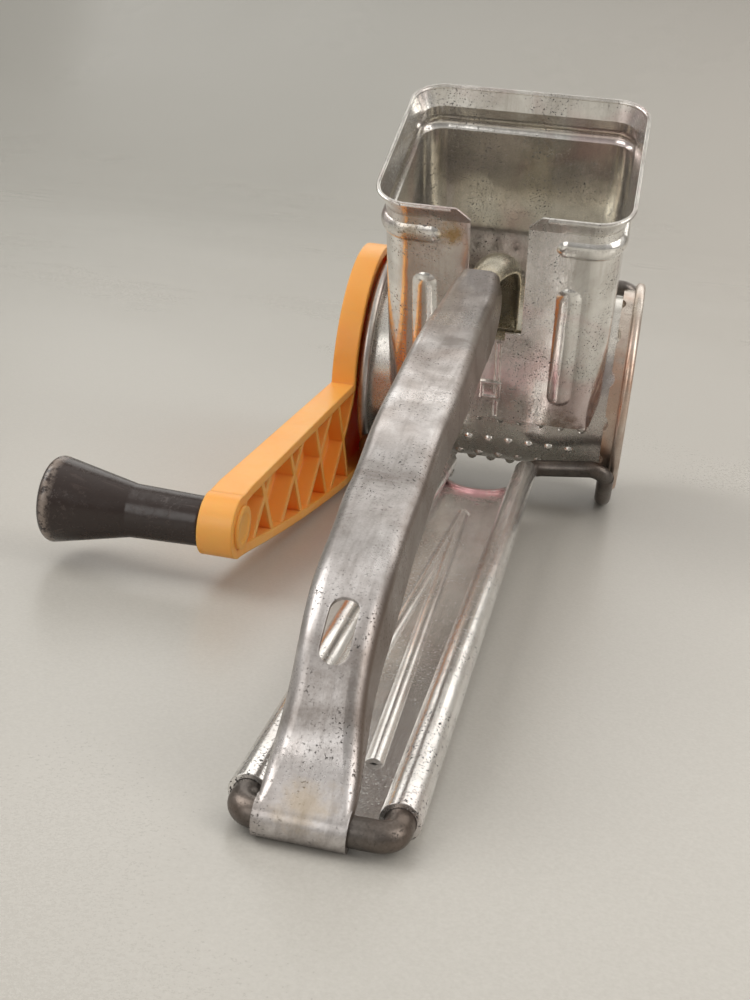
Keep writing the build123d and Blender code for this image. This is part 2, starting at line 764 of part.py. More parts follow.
hang_hole_plane = Plane(
    origin=(hang_hole_x, near_loop_y + hang_hole_reach, near_loop_z + hang_hole_rise),
    x_dir=(0, cos(hole_pitch), sin(hole_pitch)),
    z_dir=(0, -sin(hole_pitch), cos(hole_pitch)),
)

with BuildPart() as upper_handle:
    add(channel_outside)
    add(channel_inside, mode=Mode.SUBTRACT)
    with BuildSketch(Plane.YZ.offset(handle_x - barrel_half_width)):
        with Locations(hinge_point):
            Circle(roll_radius)
    extrude(amount=2 * barrel_half_width)
    with BuildSketch(Plane.YZ.offset(handle_x - 2 * barrel_half_width)):
        with Locations(hinge_point):
            Circle(roll_bore_radius)
        with Locations((near_loop_y + roll_radius, near_loop_z - wire_radius / 2)):
            Rectangle(roll_radius, wire_radius)
    extrude(amount=4 * barrel_half_width, mode=Mode.SUBTRACT)
    with BuildSketch(hang_hole_plane.offset(handle_shoulder)):
        SlotOverall(hang_hole_length, hang_hole_width)
    extrude(amount=-2 * handle_shoulder, mode=Mode.SUBTRACT)
upper_handle.part.label = "upper_handle"
export_step(upper_handle.part, "parts/upper_handle.step")


# Presser: a saddle over the drum, hung from the handle by a hooded neck in the front slot
saddle_inner = bump_tip_radius + moving_gap
saddle_outer = saddle_inner + presser_sheet


def saddle_point(angle, radius):
    """A point of the saddle in the hopper's depth and height, its angle from the top."""
    return (radius * sin(radians(angle)), radius * cos(radians(angle)))


def saddle_strip(start_x, inner, outer, front_angle, rear_angle):
    """The profile of a curved strip concentric with the drum, drawn at its -X end."""
    middle = (front_angle + rear_angle) / 2
    with BuildSketch(side_plane.offset(start_x)) as strip:
        with BuildLine():
            ThreePointArc(
                saddle_point(front_angle, inner),
                saddle_point(middle, inner),
                saddle_point(rear_angle, inner),
            )
            Line(saddle_point(rear_angle, inner), saddle_point(rear_angle, outer))
            ThreePointArc(
                saddle_point(rear_angle, outer),
                saddle_point(middle, outer),
                saddle_point(front_angle, outer),
            )
            Line(saddle_point(front_angle, outer), saddle_point(front_angle, inner))
        make_face()
    return strip.sketch


foot_x = neck_half_width + foot_reach / 2
foot_outer = saddle_outer + presser_sheet
foot_step = degrees(foot_half_depth / saddle_outer)
rivet_direction = saddle_point(foot_angle, 1.0)
rivet_plane = Plane(
    origin=(0, 0, 0),
    x_dir=(1, 0, 0),
    z_dir=hopper_plane.from_local_coords((0, *rivet_direction)),
)
rivet_places = ((-foot_x, 0), (foot_x, 0))

plate_strip = saddle_strip(
    -presser_half_width, saddle_inner, saddle_outer, presser_front_angle, presser_rear_angle
)
foot_strip = saddle_strip(
    -neck_half_width - foot_reach, saddle_outer, foot_outer, foot_angle - foot_step, foot_angle + foot_step
)

with BuildPart() as presser_plate:
    extrude(plate_strip, amount=2 * presser_half_width, dir=(1, 0, 0))
    with BuildSketch(rivet_plane):
        with Locations(*rivet_places):
            Circle(rivet_radius + seat_gap)
    extrude(amount=2 * drum_radius, mode=Mode.SUBTRACT)
presser_plate.part.label = "presser_plate"
export_step(presser_plate.part, "parts/presser_plate.step")

with BuildPart() as presser_rivets:
    with BuildSketch(rivet_plane.offset(saddle_inner + running_gap)):
        with Locations(*rivet_places):
            Circle(rivet_radius)
    extrude(amount=foot_outer - saddle_inner)
    with BuildSketch(rivet_plane.offset(foot_outer)):
        with Locations(*rivet_places):
            Circle(rivet_head_radius)
    extrude(amount=rivet_head_height)
presser_rivets.part.label = "presser_rivets"
export_step(presser_rivets.part, "parts/presser_rivets.step")

# the neck: a liner inside the handle's tip, then a hood through the slot and down to the saddle
tip = handle_points[-1]
tip_pitch = handle_pitches[-1]
liner_inset = handle_sheet + seat_gap
neck_start = (
    tip[0] + liner_inset * sin(tip_pitch),
    tip[1] - liner_inset * cos(tip_pitch),
    tip[2],
    tip[3] - liner_inset,
    tip[4] + liner_inset,
)
# each station: depth and height in the hopper, sideways place, half-width, flange
neck_stations = [
    (-24.0, 50.3, -0.9, 4.2, 6.0),
    (-17.0, 49.9, 0.0, 5.0, 6.5),
    (-10.5, 46.6, 0.0, 5.1, 6.8),
    (-6.6, 38.5, 0.0, 4.8, 6.4),
    (-5.0, 30.0, 0.0, 4.4, 6.0),
    (-4.5, 21.5, 0.0, 4.2, 6.0),
]
neck_points = [neck_start]
for depth_place, height_place, x, half_width, depth in neck_stations:
    place = hopper_plane.from_local_coords((0, depth_place, height_place))
    neck_points.append((place.Y, place.Z, x, half_width, depth))
neck_pitches = path_pitches(neck_points, handle_tip_pitch, neck_end_pitch)
neck_outside = channel_form(neck_points, neck_pitches, 0.0, ruled=True)
neck_inside = channel_form(neck_points, neck_pitches, presser_sheet, ruled=True)
liner_outside = channel_form(handle_points, handle_pitches, liner_inset)
liner_inside = channel_form(handle_points, handle_pitches, liner_inset + presser_sheet)

with BuildPart() as neck_liner:
    add(liner_outside)
    add(liner_inside, mode=Mode.SUBTRACT)
    with BuildSketch(Plane.XZ.offset(-(near_loop_y + liner_reach))):
        Rectangle(4 * drum_radius, 8 * drum_radius)
    extrude(amount=-near_loop_y, mode=Mode.SUBTRACT)

with BuildPart() as presser_neck:
    add(neck_outside)
    add(neck_inside, mode=Mode.SUBTRACT)
    add(neck_liner.part)
    extrude(foot_strip, amount=2 * (neck_half_width + foot_reach), dir=(1, 0, 0))
    with BuildSketch(Plane.YZ.offset(-2 * neck_half_width)):
        Circle(saddle_outer)
    extrude(amount=4 * neck_half_width, mode=Mode.SUBTRACT)
    with BuildSketch(rivet_plane):
        with Locations(*rivet_places):
            Circle(rivet_radius + seat_gap)
    extrude(amount=2 * drum_radius, mode=Mode.SUBTRACT)
presser_neck.part.label = "presser_neck"
export_step(presser_neck.part, "parts/presser_neck.step")
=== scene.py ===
import bpy
import math
from mathutils import Matrix, Vector


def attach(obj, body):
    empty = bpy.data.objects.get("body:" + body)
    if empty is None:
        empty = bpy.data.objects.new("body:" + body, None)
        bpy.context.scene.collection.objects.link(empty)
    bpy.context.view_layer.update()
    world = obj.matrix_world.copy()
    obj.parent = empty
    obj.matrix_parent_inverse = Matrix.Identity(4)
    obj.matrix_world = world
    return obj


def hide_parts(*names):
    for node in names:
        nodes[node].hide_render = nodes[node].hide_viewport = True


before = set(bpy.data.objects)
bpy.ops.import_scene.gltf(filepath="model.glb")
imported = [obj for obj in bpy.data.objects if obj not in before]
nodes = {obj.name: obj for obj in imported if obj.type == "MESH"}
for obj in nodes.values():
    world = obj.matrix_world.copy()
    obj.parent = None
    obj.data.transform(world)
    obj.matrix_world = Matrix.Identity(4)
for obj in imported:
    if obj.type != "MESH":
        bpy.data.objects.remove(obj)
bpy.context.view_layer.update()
bpy.ops.object.select_all(action="DESELECT")
print("frame loaded:", len(nodes), "nodes")


# camera, fitted to the picture
cameraSetup = {
    "place": (0.028089, -0.320747, 0.053132),
    "right": (0.9741346, 0.20397659, 0.09723852),
    "down": (0.14761568, -0.24861861, -0.957287),
    "ahead": (-0.17108883, 0.94688032, -0.27229814),
    "lens": 45.24,
}


def placeCamera(setup):
    bpy.ops.object.camera_add(location=setup["place"])
    camera = bpy.context.object
    camera.name = "tableCamera"
    up = [-value for value in setup["down"]]
    back = [-value for value in setup["ahead"]]
    camera.rotation_mode = "QUATERNION"
    camera.rotation_quaternion = Matrix((setup["right"], up, back)).transposed().to_quaternion()
    camera.data.sensor_width = 36
    camera.data.lens = setup["lens"]
    camera.data.clip_start = 0.01
    camera.data.clip_end = 30
    bpy.context.scene.camera = camera


placeCamera(cameraSetup)


# node helpers
def addNode(tree, kind, feeds=None, **options):
    node = tree.nodes.new(kind)
    for name, value in options.items():
        setattr(node, name, value)
    for key, value in (feeds or {}).items():
        feed(tree, node.inputs[key], value)
    return node


def feed(tree, socket, value):
    if isinstance(value, bpy.types.NodeSocket):
        tree.links.new(value, socket)
    else:
        socket.default_value = value


def calc(tree, operation, first, second=0.0, clamp=False):
    node = addNode(tree, "ShaderNodeMath", {0: first, 1: second}, operation=operation)
    node.use_clamp = clamp
    return node.outputs[0]


def times(tree, first, second, clamp=False):
    return calc(tree, "MULTIPLY", first, second, clamp)


def plus(tree, first, second, clamp=False):
    return calc(tree, "ADD", first, second, clamp)


def vectorMath(tree, operation, first, second, output="Vector"):
    node = addNode(tree, "ShaderNodeVectorMath", {0: first, 1: second}, operation=operation)
    return node.outputs[output]


def remap(tree, value, low, high, toLow=0.0, toHigh=1.0):
    feeds = {"Value": value, "From Min": low, "From Max": high, "To Min": toLow, "To Max": toHigh}
    return addNode(tree, "ShaderNodeMapRange", feeds).outputs["Result"]


def mixColour(tree, share, first, second, mode="MIX"):
    node = addNode(tree, "ShaderNodeMix", data_type="RGBA", blend_type=mode)
    for place, value in ((0, share), (6, first), (7, second)):
        feed(tree, node.inputs[place], value)
    return node.outputs[2]


# an uneven spread over the surface, and the part of it between a low and a high level
def spread(tree, place, grain):
    if "shift" in grain:
        place = vectorMath(tree, "ADD", place, grain["shift"])
    feeds = {
        "Vector": place,
        "Scale": grain["scale"],
        "Detail": grain["detail"],
        "Roughness": grain["roughness"],
        "Distortion": grain.get("distortion", 0.0),
    }
    return addNode(tree, "ShaderNodeTexNoise", feeds).outputs["Fac"]


def patchMask(tree, place, grain):
    return remap(tree, spread(tree, place, grain), grain["low"], grain["high"])


# lightens and darkens a colour by a fine grain
def grainColour(tree, share, colour, grain):
    grey = addNode(tree, "ShaderNodeCombineColor", {0: grain, 1: grain, 2: grain}).outputs[0]
    return mixColour(tree, share, colour, grey, "SOFT_LIGHT")


def newGroup(name, inputs, outputs):
    group = bpy.data.node_groups.new(name, "ShaderNodeTree")
    kinds = {"v": "NodeSocketVector", "c": "NodeSocketColor", "f": "NodeSocketFloat"}
    for label, kind, value in inputs:
        socket = group.interface.new_socket(name=label, in_out="INPUT", socket_type=kinds[kind])
        if value is not None:
            socket.default_value = value
    for label, kind in outputs:
        group.interface.new_socket(name=label, in_out="OUTPUT", socket_type=kinds[kind])
    source = group.nodes.new("NodeGroupInput").outputs
    sink = group.nodes.new("NodeGroupOutput").inputs
    return group, source, sink


def useGroup(tree, group, feeds):
    node = tree.nodes.new("ShaderNodeGroup")
    node.node_tree = group
    for key, value in feeds.items():
        feed(tree, node.inputs[key], value)
    return node.outputs


def hue(red, green, blue):
    return (red, green, blue, 1.0)


# aged tinplate: clouded tin, warm stains that on the hopper are painted pink reflections, clusters
# of black pits, rust bloom and soft dents
tinGrain = {
    "cloud": {
        "scale": 75.0,
        "detail": 6.0,
        "roughness": 0.62,
        "distortion": 0.4,
        "low": 0.36,
        "high": 0.66,
    },
    "stainAndReflection": {
        "shift": (0.31, 0.12, 0.07),
        "scale": 48.0,
        "detail": 3.0,
        "roughness": 0.5,
        "distortion": 0.8,
        "low": 0.50,
        "high": 0.68,
    },
    "patch": {
        "shift": (0.9, 0.4, 0.2),
        "scale": 90.0,
        "detail": 3.0,
        "roughness": 0.6,
        "low": 0.40,
        "high": 0.62,
    },
    "speck": {"scale": 2300.0, "detail": 3.0, "roughness": 0.6, "low": 0.58, "high": 0.68},
    "rust": {
        "shift": (0.2, 0.7, 0.5),
        "scale": 130.0,
        "detail": 8.0,
        "roughness": 0.7,
        "low": 0.60,
        "high": 0.70,
    },
    "dent": {"shift": (0.5, 0.1, 0.8), "scale": 85.0, "detail": 2.0, "roughness": 0.45},
    "fine": {"scale": 2800.0, "detail": 2.0, "roughness": 0.5},
    "pitColour": hue(0.018, 0.015, 0.013),
    "rustColour": hue(0.20, 0.105, 0.035),
    "fineShare": 0.35,
    "cloudRough": 0.16,
    "pitRough": 0.35,
    "rustRough": 0.4,
    "fineRough": 0.16,
    "metal": 0.9,
    "pitCover": 0.6,
    "rustCover": 0.85,
    "pitDepth": 0.05,
    "fineHeight": 0.012,
}


def makeAgedTin(grain):
    tree, source, sink = newGroup(
        "agedTin",
        [
            ("Vector", "v", None),
            ("Tin", "c", hue(0.62, 0.60, 0.57)),
            ("Shade", "c", hue(0.22, 0.20, 0.18)),
            ("Stain And Reflection", "c", hue(0.45, 0.28, 0.30)),
            ("Cloud", "f", 0.6),
            ("Stain And Reflection Amount", "f", 0.3),
            ("Pits", "f", 0.6),
            ("Rust", "f", 0.2),
            ("Polish", "f", 0.24),
            ("Dents", "f", 0.5),
        ],
        [("Color", "c"), ("Roughness", "f"), ("Metal", "f"), ("Height", "f")],
    )
    place = source["Vector"]
    cloud = times(tree, patchMask(tree, place, grain["cloud"]), source["Cloud"])
    stainAndReflection = times(tree, patchMask(tree, place, grain["stainAndReflection"]), source["Stain And Reflection Amount"])
    specks, patches = (patchMask(tree, place, grain[name]) for name in ("speck", "patch"))
    pits = times(tree, times(tree, specks, patches), source["Pits"], True)
    rust = times(tree, patchMask(tree, place, grain["rust"]), source["Rust"], True)
    fine = spread(tree, place, grain["fine"])

    colour = mixColour(tree, cloud, source["Tin"], source["Shade"])
    colour = mixColour(tree, stainAndReflection, colour, source["Stain And Reflection"])
    colour = mixColour(tree, pits, colour, grain["pitColour"])
    colour = mixColour(tree, rust, colour, grain["rustColour"])
    tree.links.new(grainColour(tree, grain["fineShare"], colour, fine), sink["Color"])

    rough = plus(tree, source["Polish"], times(tree, cloud, grain["cloudRough"]))
    rough = plus(tree, rough, times(tree, pits, grain["pitRough"]))
    rough = plus(tree, rough, times(tree, rust, grain["rustRough"]))
    fineRough = times(tree, calc(tree, "SUBTRACT", fine, 0.5), grain["fineRough"])
    tree.links.new(plus(tree, rough, fineRough, True), sink["Roughness"])

    pitCover = times(tree, pits, grain["pitCover"])
    rustCover = times(tree, rust, grain["rustCover"])
    covered = calc(tree, "MAXIMUM", pitCover, rustCover)
    tree.links.new(calc(tree, "SUBTRACT", grain["metal"], covered, True), sink["Metal"])

    dents = times(tree, spread(tree, place, grain["dent"]), source["Dents"])
    height = calc(tree, "SUBTRACT", dents, times(tree, pits, grain["pitDepth"]))
    tree.links.new(plus(tree, height, times(tree, fine, grain["fineHeight"])), sink["Height"])
    return tree


# fine lines drawn along a part by wear and rolling
lineGrain = {"detail": 3.0, "roughness": 0.6, "low": 0.48, "high": 0.68}


def makeDrawLines(grain):
    tree, source, sink = newGroup(
        "drawLines",
        [("Vector", "v", None), ("Stretch", "v", (1.0, 0.05, 1.0)), ("Scale", "f", 900.0)],
        [("Mask", "f"), ("Height", "f")],
    )
    drawn = vectorMath(tree, "MULTIPLY", source["Vector"], source["Stretch"])
    lines = spread(tree, drawn, {**grain, "scale": source["Scale"]})
    tree.links.new(remap(tree, lines, grain["low"], grain["high"]), sink["Mask"])
    tree.links.new(lines, sink["Height"])
    return tree


# a frayed spot round one place, full inside the core and gone at the reach
spotGrain = {
    "scale": 420.0,
    "detail": 4.0,
    "roughness": 0.65,
    "fray": 0.6,
    "ragged": 3.0,
    "core": 0.35,
}


def makeSpotMask(grain):
    tree, source, sink = newGroup(
        "spotMask",
        [
            ("Vector", "v", None),
            ("Centre", "v", (0.0, 0.0, 0.0)),
            ("Reach", "f", 0.004),
            ("Fray", "f", grain["fray"]),
        ],
        [("Mask", "f")],
    )
    gap = vectorMath(tree, "DISTANCE", source["Vector"], source["Centre"], "Value")
    share = calc(tree, "DIVIDE", gap, source["Reach"])
    uneven = calc(tree, "SUBTRACT", spread(tree, source["Vector"], grain), 0.5)
    frayed = times(tree, times(tree, uneven, source["Fray"]), grain["ragged"])
    tree.links.new(remap(tree, plus(tree, share, frayed), 1.0, grain["core"]), sink["Mask"])
    return tree


# moulded plastic with fading, scuffs and fine scratches
plasticGrain = {
    "fade": {"scale": 38.0, "detail": 3.0, "roughness": 0.5, "low": 0.38, "high": 0.66},
    "patch": {
        "shift": (0.4, 0.1, 0.3),
        "scale": 110.0,
        "detail": 3.0,
        "roughness": 0.6,
        "low": 0.48,
        "high": 0.66,
    },
    "mark": {"scale": 1300.0, "detail": 3.0, "roughness": 0.65, "low": 0.56, "high": 0.64},
    "scratch": {"scale": 900.0, "detail": 2.0, "roughness": 0.5, "low": 0.66, "high": 0.70},
    "skin": {"scale": 620.0, "detail": 2.0, "roughness": 0.5},
    "fadeMost": 0.7,
    "scratchStretch": (0.12, 1.0, 0.3),
    "scratchShare": 0.6,
    "wornRough": 0.3,
    "skinRough": 0.2,
    "skinHeight": 0.25,
    "wornDepth": 0.4,
}


def makeUsedPlastic(grain):
    tree, source, sink = newGroup(
        "usedPlastic",
        [
            ("Vector", "v", None),
            ("Body", "c", hue(0.9, 0.3, 0.04)),
            ("Faded", "c", hue(1.0, 0.45, 0.12)),
            ("Scuff", "c", hue(0.9, 0.7, 0.5)),
            ("Scuffs", "f", 0.3),
            ("Polish", "f", 0.38),
        ],
        [("Color", "c"), ("Roughness", "f"), ("Height", "f")],
    )
    place = source["Vector"]
    faded = spread(tree, place, grain["fade"])
    fade = remap(tree, faded, grain["fade"]["low"], grain["fade"]["high"], 0.0, grain["fadeMost"])
    drawn = vectorMath(tree, "MULTIPLY", place, grain["scratchStretch"])
    scratches = times(tree, patchMask(tree, drawn, grain["scratch"]), grain["scratchShare"])
    marks, patches = (patchMask(tree, place, grain[name]) for name in ("mark", "patch"))
    worn = calc(tree, "MAXIMUM", times(tree, marks, patches), scratches)
    worn = times(tree, worn, source["Scuffs"], True)
    skin = spread(tree, place, grain["skin"])

    colour = mixColour(tree, fade, source["Body"], source["Faded"])
    tree.links.new(mixColour(tree, worn, colour, source["Scuff"]), sink["Color"])

    rough = plus(tree, source["Polish"], times(tree, worn, grain["wornRough"]))
    skinRough = times(tree, calc(tree, "SUBTRACT", skin, 0.5), grain["skinRough"])
    tree.links.new(plus(tree, rough, skinRough, True), sink["Roughness"])

    raised = times(tree, skin, grain["skinHeight"])
    sunk = times(tree, worn, grain["wornDepth"])
    tree.links.new(calc(tree, "SUBTRACT", raised, sunk), sink["Height"])
    return tree


agedTin = makeAgedTin(tinGrain)
drawLines = makeDrawLines(lineGrain)
spotMask = makeSpotMask(spotGrain)
usedPlastic = makeUsedPlastic(plasticGrain)
print("node groups ready")


def newMaterial(name):
    material = bpy.data.materials.new(name)
    material.use_nodes = True
    tree = material.node_tree
    tree.nodes.clear()
    output = tree.nodes.new("ShaderNodeOutputMaterial")
    shader = tree.nodes.new("ShaderNodeBsdfPrincipled")
    tree.links.new(shader.outputs[0], output.inputs["Surface"])
    coordinates = tree.nodes.new("ShaderNodeTexCoord")
    return material, tree, shader, coordinates


# lays a look's spots on a colour and gives their masks back
# a spot is its centre and reach in mm, its colour and its strength
def laySpots(tree, place, colour, spots):
    masks = []
    for centre, reach, tint, strength in spots:
        middle = [value / 1000 for value in centre]
        feeds = {"Vector": place, "Centre": middle, "Reach": reach / 1000}
        mask = times(tree, useGroup(tree, spotMask, feeds)["Mask"], strength)
        colour = mixColour(tree, mask, colour, tint)
        masks.append(mask)
    return colour, masks


# what every tinned or plain steel finish shares: the bump's height is in metres
tinRelief = {
    "height": 0.0005,
    "lineHeight": 0.04,
    "spotRough": 0.2,
    "edgeSamples": 4,
    "sideLow": 0.35,
    "sideHigh": 0.9,
}


def tinFinish(name, look):
    material, tree, shader, coordinates = newMaterial(name)
    place = coordinates.outputs["Object"]
    pits = look["pits"]
    if "pitBand" in look:  # more pits beyond a distance from the middle, in mm
        across = addNode(tree, "ShaderNodeSeparateXYZ", {0: place}).outputs[0]
        start, end, most = look["pitBand"]
        pits = remap(tree, calc(tree, "ABSOLUTE", across), start / 1000, end / 1000, pits, most)
    aged = useGroup(
        tree,
        agedTin,
        {
            "Vector": place,
            "Tin": look["tin"],
            "Shade": look["shade"],
            "Stain And Reflection": look.get("stainAndReflection", hue(0.45, 0.28, 0.30)),
            "Cloud": look["cloud"],
            "Stain And Reflection Amount": look.get("stainAndReflectionShare", 0.25),
            "Pits": pits,
            "Rust": look["rust"],
            "Polish": look["polish"],
            "Dents": look["dents"],
        },
    )
    colour, rough, height = aged["Color"], aged["Roughness"], aged["Height"]
    if "stretch" in look:
        lines = useGroup(tree, drawLines, {"Vector": place, "Stretch": look["stretch"]})
        drawn = times(tree, lines["Mask"], look["lineShare"])
        colour = mixColour(tree, drawn, colour, look["shade"])
        height = plus(tree, height, times(tree, lines["Height"], tinRelief["lineHeight"]))
    if "sideShade" in look:  # painted shade: a wall that faces +X is painted darker, as if turned away from the light
        most, sideShadeColour = look["sideShade"]
        normal = coordinates.outputs["Normal"]
        facing = addNode(tree, "ShaderNodeSeparateXYZ", {0: normal}).outputs[0]
        sideShadeShare = remap(tree, facing, tinRelief["sideLow"], tinRelief["sideHigh"], 0.0, most)
        colour = mixColour(tree, sideShadeShare, colour, sideShadeColour)
    colour, masks = laySpots(tree, place, colour, look.get("spots", []))
    for mask in masks:
        rough = plus(tree, rough, times(tree, mask, tinRelief["spotRough"]), True)
    bump = addNode(
        tree, "ShaderNodeBump", {"Strength": 1.0, "Distance": tinRelief["height"], "Height": height}
    )
    if "edge" in look:
        rounded = addNode(
            tree, "ShaderNodeBevel", {"Radius": look["edge"]}, samples=tinRelief["edgeSamples"]
        )
        tree.links.new(rounded.outputs[0], bump.inputs["Normal"])
    tree.links.new(colour, shader.inputs["Base Color"])
    tree.links.new(rough, shader.inputs["Roughness"])
    tree.links.new(aged["Metal"], shader.inputs["Metallic"])
    tree.links.new(bump.outputs[0], shader.inputs["Normal"])
    return material


# what both plastic finishes share: sizes in metres
plasticRelief = {
    "height": 0.00015,
    "edgeSamples": 4,
    "depthReach": (0.0045, 0.0016, 0.0005),
    "chipFade": 0.0004,
    "chipGrain": {"scale": 520.0, "detail": 4.0, "roughness": 0.7, "low": 0.42, "high": 0.52},
}


def plasticFinish(name, look):
    material, tree, shader, coordinates = newMaterial(name)
    place = coordinates.outputs["Object"]
    used = useGroup(
        tree,
        usedPlastic,
        {
            "Vector": place,
            "Body": look["body"],
            "Faded": look["faded"],
            "Scuff": look["scuff"],
            "Scuffs": look["scuffs"],
            "Polish": look["polish"],
        },
    )
    colour, masks = laySpots(tree, place, used["Color"], look.get("spots", []))
    if "chips" in look:  # chipped rim: beyond a radius from the knob's axis, in mm
        axisY, axisZ, chipRadius, chipColour = look["chips"]
        parts = addNode(tree, "ShaderNodeSeparateXYZ", {0: place})
        flat = addNode(tree, "ShaderNodeCombineXYZ", {1: parts.outputs[1], 2: parts.outputs[2]})
        axis = (0, axisY / 1000, axisZ / 1000)
        gap = vectorMath(tree, "DISTANCE", flat.outputs[0], axis, "Value")
        broken = patchMask(tree, place, plasticRelief["chipGrain"])
        rim = remap(tree, gap, chipRadius / 1000 - plasticRelief["chipFade"], chipRadius / 1000)
        colour = mixColour(tree, times(tree, rim, broken), colour, chipColour)
    rounded = addNode(
        tree, "ShaderNodeBevel", {"Radius": look["edge"]}, samples=plasticRelief["edgeSamples"]
    )
    feeds = {
        "Strength": 1.0,
        "Distance": plasticRelief["height"],
        "Height": used["Height"],
        "Normal": rounded.outputs[0],
    }
    bump = addNode(tree, "ShaderNodeBump", feeds)
    tree.links.new(colour, shader.inputs["Base Color"])
    tree.links.new(used["Roughness"], shader.inputs["Roughness"])
    tree.links.new(bump.outputs[0], shader.inputs["Normal"])
    if "depth" in look:
        shader.inputs["Subsurface Weight"].default_value = look["depth"]
        shader.inputs["Subsurface Radius"].default_value = plasticRelief["depthReach"]
        shader.inputs["Subsurface Scale"].default_value = 1.0
    return material


brightTin = hue(0.93, 0.915, 0.875)
darkTin = hue(0.13, 0.115, 0.10)
rustBrown = hue(0.16, 0.075, 0.02)
yellowStain = hue(0.50, 0.34, 0.12)

hopperLook = {
    "tin": brightTin,
    "shade": hue(0.42, 0.385, 0.34),
    # painted reflection: the pink stain colour stands in for pink and purple reflections on the tin
    "stainAndReflection": hue(0.66, 0.42, 0.42),
    "cloud": 0.6,
    "stainAndReflectionShare": 0.45,
    "pits": 1.3,
    "rust": 0.16,
    "polish": 0.13,
    "dents": 0.6,
    "stretch": (1.0, 0.12, 0.12),
    "lineShare": 0.22,
    "edge": 0.0002,
    "spots": [
        ((-10.5, -49.0, 36.5), 3.4, yellowStain, 0.8),
        ((-19.0, -49.5, 35.0), 4.0, hue(0.36, 0.24, 0.12), 0.5),
        ((17.0, -22.0, -6.0), 6.0, rustBrown, 0.6),
        ((-6.6, -40.0, 21.0), 3.0, darkTin, 0.5),
        ((7.5, -34.0, 14.0), 3.0, hue(0.10, 0.08, 0.07), 0.4),
    ],
}
handleLook = {
    "tin": hue(0.74, 0.71, 0.70),
    "shade": hue(0.23, 0.20, 0.18),
    "stainAndReflection": hue(0.36, 0.29, 0.25),
    "cloud": 0.85,
    "stainAndReflectionShare": 0.45,
    "pits": 1.0,
    "rust": 0.05,
    "polish": 0.27,
    "dents": 0.3,
    "stretch": (1.0, 0.07, 0.25),
    "lineShare": 0.35,
    # painted shade: the walls that face +X are painted dark brown
    "sideShade": (0.85, hue(0.15, 0.105, 0.08)),
    "edge": 0.0003,
    "spots": [
        ((-1.0, -187.0, -25.0), 4.0, yellowStain, 0.3),
        ((-3.0, -54.0, 28.0), 6.0, hue(0.24, 0.225, 0.215), 0.6),
    ],
}
plateLook = {
    "tin": hue(0.94, 0.925, 0.90),
    "shade": hue(0.42, 0.38, 0.34),
    "stainAndReflection": hue(0.66, 0.50, 0.48),
    "cloud": 0.4,
    "stainAndReflectionShare": 0.25,
    "pits": 0.4,
    "pitBand": (7.2, 8.6, 2.2),
    "rust": 0.03,
    "polish": 0.19,
    "dents": 0.35,
    "stretch": (1.0, 0.06, 0.5),
    "lineShare": 0.25,
    "edge": 0.0002,
    # painted reflection: a strong pink spot on the lip
    "spots": [((0.5, -36.0, -21.0), 10.0, hue(0.86, 0.56, 0.58), 0.85)],
}
drumLook = {
    "tin": hue(0.82, 0.80, 0.75),
    "shade": hue(0.42, 0.39, 0.35),
    "cloud": 0.5,
    "stainAndReflectionShare": 0.25,
    "pits": 0.3,
    "rust": 0.08,
    "polish": 0.24,
    "dents": 0.15,
}
mouthLook = {
    "tin": hue(0.72, 0.66, 0.59),
    "shade": hue(0.42, 0.27, 0.20),
    "stainAndReflection": hue(0.60, 0.33, 0.20),
    "cloud": 0.6,
    "stainAndReflectionShare": 0.75,
    "pits": 0.4,
    "rust": 0.15,
    "polish": 0.26,
    "dents": 0.15,
}
capLook = {
    "tin": hue(0.60, 0.58, 0.55),
    "shade": hue(0.26, 0.235, 0.21),
    "cloud": 0.6,
    "pits": 0.4,
    "rust": 0.12,
    "polish": 0.28,
    "dents": 0.25,
}
neckLook = {
    "tin": hue(0.70, 0.66, 0.55),
    "shade": hue(0.38, 0.34, 0.26),
    "stainAndReflection": hue(0.58, 0.48, 0.33),
    "cloud": 0.5,
    "stainAndReflectionShare": 0.5,
    "pits": 0.3,
    "rust": 0.06,
    "polish": 0.22,
    "dents": 0.25,
}
rivetLook = {
    "tin": hue(0.62, 0.60, 0.57),
    "shade": hue(0.26, 0.235, 0.22),
    "cloud": 0.5,
    "pits": 0.4,
    "rust": 0.1,
    "polish": 0.3,
    "dents": 0.1,
}
wireLook = {
    "tin": hue(0.20, 0.18, 0.165),
    "shade": hue(0.07, 0.06, 0.052),
    "stainAndReflection": hue(0.17, 0.11, 0.075),
    "cloud": 0.7,
    "stainAndReflectionShare": 0.4,
    "pits": 0.5,
    "rust": 0.1,
    "polish": 0.3,
    "dents": 0.12,
    "stretch": (0.6, 0.12, 0.6),
    "lineShare": 0.3,
}
crankLook = {
    "body": hue(0.97, 0.38, 0.055),
    "faded": hue(1.0, 0.50, 0.13),
    "scuff": hue(0.75, 0.42, 0.20),
    "scuffs": 0.12,
    "polish": 0.38,
    "depth": 0.25,
    "edge": 0.0006,
    "spots": [((-40.0, -22.0, -22.0), 5.0, hue(0.45, 0.14, 0.03), 0.3)],
}
knobLook = {
    "body": hue(0.027, 0.017, 0.014),
    "faded": hue(0.037, 0.024, 0.020),
    "scuff": hue(0.12, 0.085, 0.07),
    "scuffs": 0.25,
    "polish": 0.25,
    "edge": 0.0004,
    "chips": (-103.0, -18.7, 8.5, hue(0.32, 0.26, 0.22)),
}

hopperTin = tinFinish("hopperTin", hopperLook)
handleTin = tinFinish("handleTin", handleLook)
plateTin = tinFinish("plateTin", plateLook)
drumTin = tinFinish("drumTin", drumLook)
mouthTin = tinFinish("mouthTin", mouthLook)
capTin = tinFinish("capTin", capLook)
neckTin = tinFinish("neckTin", neckLook)
rivetSteel = tinFinish("rivetSteel", rivetLook)
wireSteel = tinFinish("wireSteel", wireLook)
crankPlastic = plasticFinish("crankPlastic", crankLook)
knobPlastic = plasticFinish("knobPlastic", knobLook)

